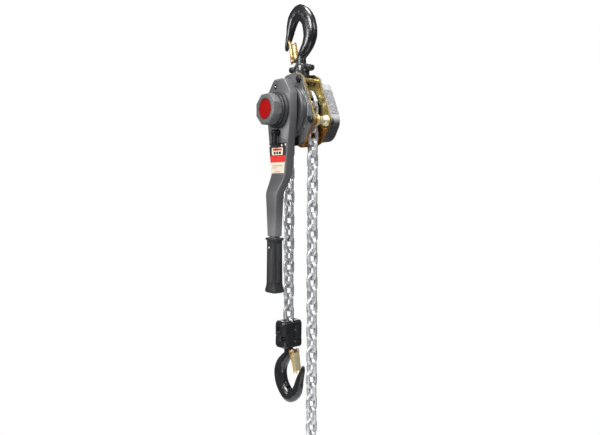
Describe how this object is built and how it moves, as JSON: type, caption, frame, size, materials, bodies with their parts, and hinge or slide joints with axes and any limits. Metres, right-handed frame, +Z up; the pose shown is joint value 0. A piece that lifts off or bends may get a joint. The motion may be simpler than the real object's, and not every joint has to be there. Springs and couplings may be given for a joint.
{
  "type": "lever chain hoist",
  "caption": "Hand lever chain hoist: swivel top hook, plate frame with geared pocket sheave and ratchet brake, offset lever, and a load chain ending in a hook block.",
  "frame": {"origin": "centre of the flat seat inside the top hook's bowl, where the hoist bears on what it hangs from", "axes": "+Z up along the top hook's shank; X along the main axis with the lever and handwheel at -X and the gear cover at +X; the free strand of chain hangs at -Y and the load strand at +Y"},
  "size_m": [0.1808, 0.1836, 1.4554],
  "materials": {
    "brake_cover": "dark grey enamel on pressed steel",
    "brake_hub": "machined steel",
    "brake_pawl_lower": "machined steel",
    "brake_pawl_upper": "machined steel",
    "chain_end_ring": "bright galvanised alloy steel",
    "chain_on_sheave": "bright galvanised alloy steel",
    "chain_pin": "machined steel",
    "chain_stripper": "yellow zinc plated steel",
    "change_gear": "machined steel",
    "drive_shaft": "machined steel",
    "free_chain": "bright galvanised alloy steel",
    "free_chain_link": "bright galvanised alloy steel",
    "freewheel_spring": "machined steel",
    "friction_disc_inner": "moulded friction lining",
    "friction_disc_outer": "moulded friction lining",
    "gear_cover": "dark grey enamel on pressed steel",
    "guide_roller_front": "yellow zinc plated steel",
    "guide_roller_rear": "yellow zinc plated steel",
    "handwheel": "dark grey enamel on pressed steel",
    "handwheel_insert": "red moulded insert",
    "handwheel_nut": "black oxide steel",
    "left_side_plate": "yellow zinc plated steel",
    "lever_arm": "dark grey enamel on pressed steel",
    "lever_back_cover": "dark grey enamel on pressed steel",
    "lever_grip": "moulded black rubber",
    "load_chain": "bright galvanised alloy steel",
    "load_chain_link": "bright galvanised alloy steel",
    "load_end_link": "bright galvanised alloy steel",
    "load_gear": "machined steel",
    "load_hook": "gloss black enamel on forged steel",
    "load_latch": "yellow passivated sheet steel",
    "load_latch_pin": "yellow passivated sheet steel",
    "load_sheave": "black oxide steel",
    "load_yoke_bolt_front": "black oxide steel",
    "load_yoke_bolt_rear": "black oxide steel",
    "load_yoke_left": "gloss black enamel on forged steel",
    "load_yoke_right": "gloss black enamel on forged steel",
    "pawl_pin_lower": "machined steel",
    "pawl_pin_upper": "machined steel",
    "ratchet_disc": "machined steel",
    "reduction_gear_lower": "machined steel",
    "reduction_gear_upper": "machined steel",
    "right_side_plate": "yellow zinc plated steel",
    "selector_knob": "black oxide steel",
    "selector_pawl": "machined steel",
    "sheave_bearing_left": "bearing bronze",
    "sheave_bearing_right": "bearing bronze",
    "stay_bolt_side_front": "black oxide steel",
    "stay_bolt_side_rear": "black oxide steel",
    "stay_bolt_top_front": "black oxide steel",
    "stay_bolt_top_rear": "black oxide steel",
    "top_hook": "gloss black enamel on forged steel",
    "top_hook_pin": "machined steel",
    "top_latch": "yellow passivated sheet steel",
    "top_latch_pin": "yellow passivated sheet steel",
    "top_yoke_bolt_front": "black oxide steel",
    "top_yoke_bolt_rear": "black oxide steel",
    "top_yoke_left": "gloss black enamel on forged steel",
    "top_yoke_right": "gloss black enamel on forged steel"
  },
  "bodies": {
    "top_hook": {"top_hook": "top_hook", "top_latch_pin": "top_latch_pin"},
    "top_latch": {"top_latch": "top_latch"},
    "top_yoke": {"top_yoke_left": "top_yoke_left", "top_yoke_right": "top_yoke_right", "top_yoke_bolt_front": "top_yoke_bolt_front", "top_yoke_bolt_rear": "top_yoke_bolt_rear"},
    "frame": {"left_side_plate": "left_side_plate", "right_side_plate": "right_side_plate", "brake_cover": "brake_cover", "gear_cover": "gear_cover", "stay_bolt_top_front": "stay_bolt_top_front", "stay_bolt_top_rear": "stay_bolt_top_rear", "stay_bolt_side_front": "stay_bolt_side_front", "stay_bolt_side_rear": "stay_bolt_side_rear", "top_hook_pin": "top_hook_pin", "sheave_bearing_left": "sheave_bearing_left", "sheave_bearing_right": "sheave_bearing_right", "chain_stripper": "chain_stripper", "pawl_pin_upper": "pawl_pin_upper", "pawl_pin_lower": "pawl_pin_lower", "chain_on_sheave": "chain_on_sheave"},
    "guide_roller_front": {"guide_roller_front": "guide_roller_front"},
    "guide_roller_rear": {"guide_roller_rear": "guide_roller_rear"},
    "brake_pawl_upper": {"brake_pawl_upper": "brake_pawl_upper"},
    "brake_pawl_lower": {"brake_pawl_lower": "brake_pawl_lower"},
    "ratchet": {"ratchet_disc": "ratchet_disc"},
    "drive": {"drive_shaft": "drive_shaft", "brake_hub": "brake_hub", "friction_disc_inner": "friction_disc_inner", "friction_disc_outer": "friction_disc_outer", "change_gear": "change_gear", "freewheel_spring": "freewheel_spring", "handwheel": "handwheel", "handwheel_nut": "handwheel_nut", "handwheel_insert": "handwheel_insert"},
    "reduction_upper": {"reduction_gear_upper": "reduction_gear_upper"},
    "reduction_lower": {"reduction_gear_lower": "reduction_gear_lower"},
    "sheave": {"load_sheave": "load_sheave", "load_gear": "load_gear"},
    "lever": {"lever_arm": "lever_arm", "lever_back_cover": "lever_back_cover", "lever_grip": "lever_grip"},
    "selector": {"selector_knob": "selector_knob", "selector_pawl": "selector_pawl"},
    "free_link": {"free_chain_link": "free_chain_link"},
    "free_run": {"free_chain": "free_chain", "chain_end_ring": "chain_end_ring"},
    "load_link": {"load_chain_link": "load_chain_link"},
    "load_run": {"load_chain": "load_chain"},
    "load_block": {"load_end_link": "load_end_link", "chain_pin": "chain_pin", "load_yoke_left": "load_yoke_left", "load_yoke_right": "load_yoke_right", "load_yoke_bolt_front": "load_yoke_bolt_front", "load_yoke_bolt_rear": "load_yoke_bolt_rear"},
    "load_hook": {"load_hook": "load_hook", "load_latch_pin": "load_latch_pin"},
    "load_latch": {"load_latch": "load_latch"}
  },
  "joints": [
    {"name": "top_latch_hinge", "type": "hinge", "parent": "top_hook", "child": "top_latch", "pos_m": [-0.00183, 0.02092, -0.101], "axis": [0.9962, 0.0872, 0], "range_deg": [0, 35], "stiffness_Nm_per_rad": 0.05, "springref_deg": -20.05},
    {"name": "top_hook_swivel", "type": "hinge", "parent": "top_hook", "child": "top_yoke", "pos_m": [0, 0, -0.13], "axis": [0, 0, 1], "continuous": true},
    {"name": "frame_pivot", "type": "hinge", "parent": "top_yoke", "child": "frame", "pos_m": [0, 0, -0.152], "axis": [1, 0, 0], "range_deg": [-25, 25]},
    {"name": "guide_roller_spin_front", "type": "hinge", "parent": "frame", "child": "guide_roller_front", "pos_m": [0, -0.0745, -0.255], "axis": [1, 0, 0], "continuous": true},
    {"name": "guide_roller_spin_rear", "type": "hinge", "parent": "frame", "child": "guide_roller_rear", "pos_m": [0, 0.0745, -0.255], "axis": [1, 0, 0], "continuous": true},
    {"name": "brake_pawl_lift_upper", "type": "hinge", "parent": "frame", "child": "brake_pawl_upper", "pos_m": [0, 0.0383, -0.19786], "axis": [1, 0, 0], "range_deg": [-4, 6], "stiffness_Nm_per_rad": 0.02, "springref_deg": 22.92},
    {"name": "brake_pawl_lift_lower", "type": "hinge", "parent": "frame", "child": "brake_pawl_lower", "pos_m": [0, -0.0383, -0.26214], "axis": [1, 0, 0], "range_deg": [-4, 6], "stiffness_Nm_per_rad": 0.02, "springref_deg": 22.92},
    {"name": "ratchet_spin", "type": "hinge", "parent": "frame", "child": "ratchet", "pos_m": [0, 0, -0.23], "axis": [1, 0, 0], "continuous": true},
    {"name": "drive_spin", "type": "hinge", "parent": "frame", "child": "drive", "pos_m": [0, 0, -0.23], "axis": [1, 0, 0], "continuous": true, "deforming": ["chain_on_sheave"]},
    {"name": "reduction_spin_upper", "type": "hinge", "parent": "frame", "child": "reduction_upper", "pos_m": [0, 0, -0.19237], "axis": [1, 0, 0], "continuous": true},
    {"name": "reduction_spin_lower", "type": "hinge", "parent": "frame", "child": "reduction_lower", "pos_m": [0, 0, -0.26763], "axis": [1, 0, 0], "continuous": true},
    {"name": "sheave_spin", "type": "hinge", "parent": "frame", "child": "sheave", "pos_m": [0, 0, -0.23], "axis": [1, 0, 0], "continuous": true},
    {"name": "lever_turn", "type": "hinge", "parent": "frame", "child": "lever", "pos_m": [0, 0, -0.23], "axis": [1, 0, 0], "continuous": true},
    {"name": "selector_turn", "type": "hinge", "parent": "lever", "child": "selector", "pos_m": [0, 0, -0.2845], "axis": [1, 0, 0], "range_deg": [-22, 22]},
    {"name": "free_link_swing", "type": "hinge", "parent": "frame", "child": "free_link", "pos_m": [0, -0.04454, -0.34], "axis": [0, 1, 0], "range_deg": [-10, 10]},
    {"name": "free_run_swing", "type": "hinge", "parent": "free_link", "child": "free_run", "pos_m": [0, -0.04454, -0.37], "axis": [1, 0, 0], "range_deg": [-12, 1.5]},
    {"name": "load_link_swing", "type": "hinge", "parent": "frame", "child": "load_link", "pos_m": [0, 0.04779, -0.34], "axis": [1, 0, 0], "range_deg": [-1.5, 12]},
    {"name": "load_run_swing", "type": "hinge", "parent": "load_link", "child": "load_run", "pos_m": [0, 0.04779, -0.37], "axis": [0, 1, 0], "range_deg": [-10, 10]},
    {"name": "load_block_swing", "type": "hinge", "parent": "load_run", "child": "load_block", "pos_m": [0, 0.04779, -0.76], "axis": [1, 0, 0], "range_deg": [-5, 15]},
    {"name": "load_hook_swivel", "type": "hinge", "parent": "load_block", "child": "load_hook", "pos_m": [0, 0.04779, -0.83], "axis": [0, 0, 1], "continuous": true},
    {"name": "load_latch_hinge", "type": "hinge", "parent": "load_hook", "child": "load_latch", "pos_m": [0.00183, 0.02687, -0.836], "axis": [0.9962, 0.0872, 0], "range_deg": [0, 35], "stiffness_Nm_per_rad": 0.05, "springref_deg": -20.05}
  ],
  "couplings": [
    {"joint": "reduction_spin_upper", "follows": "drive_spin", "ratio": -0.30303},
    {"joint": "reduction_spin_lower", "follows": "drive_spin", "ratio": -0.30303},
    {"joint": "sheave_spin", "follows": "drive_spin", "ratio": 0.091827}
  ]
}
